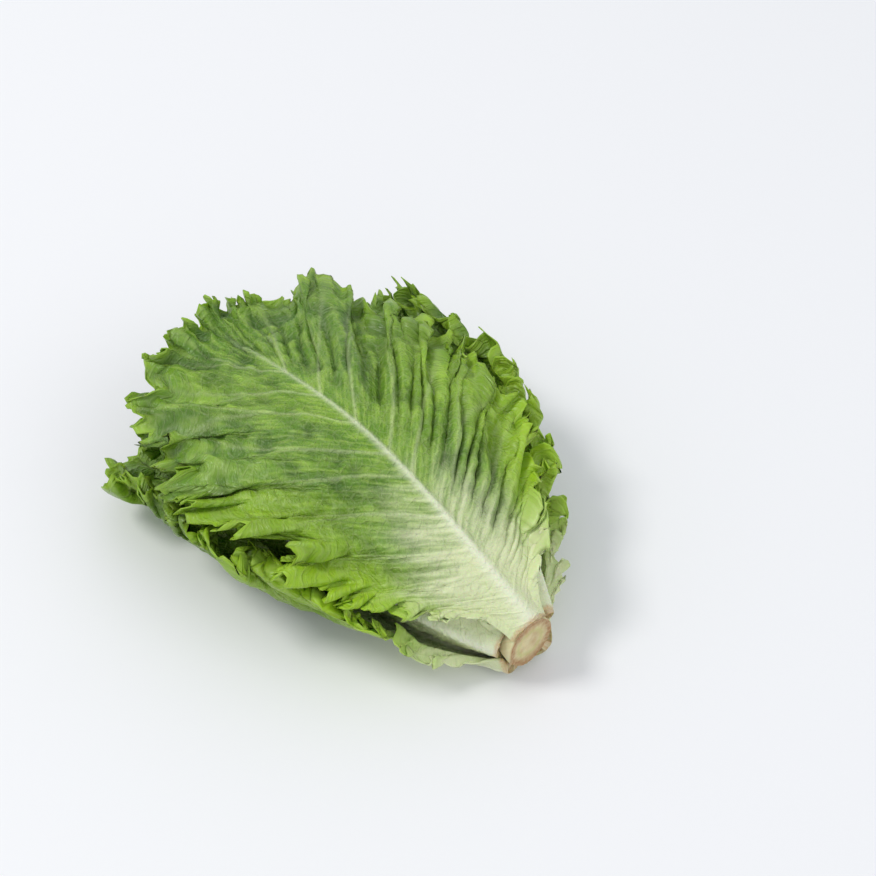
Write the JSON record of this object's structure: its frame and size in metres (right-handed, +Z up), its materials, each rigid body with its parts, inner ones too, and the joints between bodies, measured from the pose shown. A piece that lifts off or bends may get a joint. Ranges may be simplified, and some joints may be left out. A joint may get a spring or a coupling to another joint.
{
  "type": "head of lettuce",
  "caption": "Loose head of frilly green leaf lettuce lying on its side, its broad ribbed leaves opening from a short cut stem.",
  "frame": {"origin": "on the surface that the head lies on, under the middle of its bounding box", "axes": "+Y along the head from the cut stem to the leaf tips, +Z up through the back of the top leaf, +X to the right seen from the cut stem"},
  "size_m": [0.1648, 0.2258, 0.0809],
  "materials": {
    "outer_leaf": "fresh green leaf, slightly glossy",
    "middle_leaf": "fresh light green leaf, slightly glossy",
    "heart_leaf": "fresh pale yellow-green leaf, slightly glossy",
    "stem": "cut stem, moist and matt"
  },
  "bodies": {
    "root": {"stem": "stem", "outer_leaf_1": "outer_leaf", "outer_leaf_2": "outer_leaf", "outer_leaf_3": "outer_leaf", "outer_leaf_4": "outer_leaf", "outer_leaf_5": "outer_leaf", "middle_leaf_1": "middle_leaf", "middle_leaf_2": "middle_leaf", "middle_leaf_3": "middle_leaf", "middle_leaf_4": "middle_leaf", "middle_leaf_5": "middle_leaf", "heart_leaf_1": "heart_leaf", "heart_leaf_2": "heart_leaf", "heart_leaf_3": "heart_leaf"}
  },
  "joints": []
}
